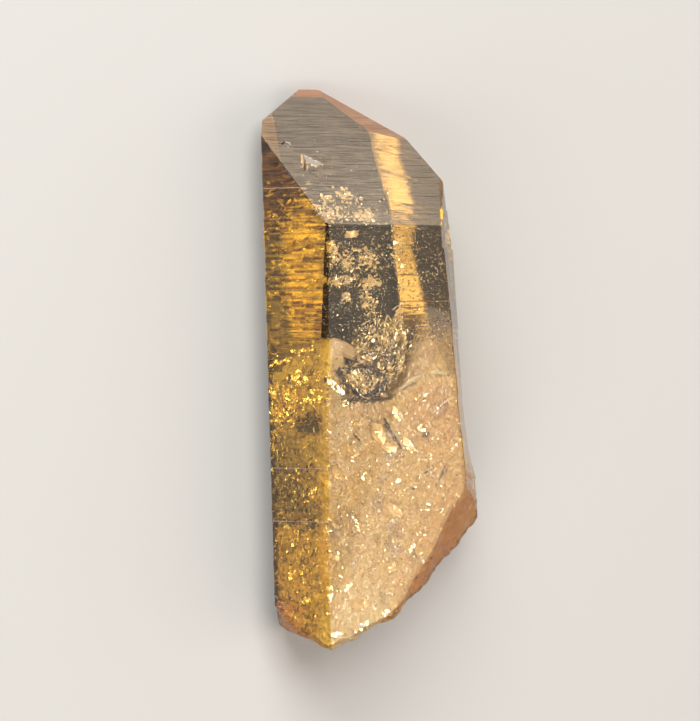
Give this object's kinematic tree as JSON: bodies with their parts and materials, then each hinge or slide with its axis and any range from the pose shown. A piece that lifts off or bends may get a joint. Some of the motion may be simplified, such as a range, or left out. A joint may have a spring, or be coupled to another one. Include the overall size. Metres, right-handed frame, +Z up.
{
  "type": "aura quartz crystal point",
  "caption": "Single golden quartz point lying on one prism face, with a flat faceted tip, fine growth ledges and a rough broken root.",
  "frame": {"origin": "centre of the crystal's bounding box, on the surface that the crystal lies on", "axes": "+Z up from the resting prism face, +Y along the crystal's long axis towards its tip, +X across it, away from the striated face that looks up to the left"},
  "size_m": [0.0282, 0.0698, 0.015],
  "materials": {
    "golden_aura_quartz": "clear golden quartz, glassy growth faces under a thin grey metal coat, milky and full of cracks towards the root, iron stained on the break"
  },
  "bodies": {
    "root": {"quartz_crystal": "golden_aura_quartz"}
  },
  "joints": []
}
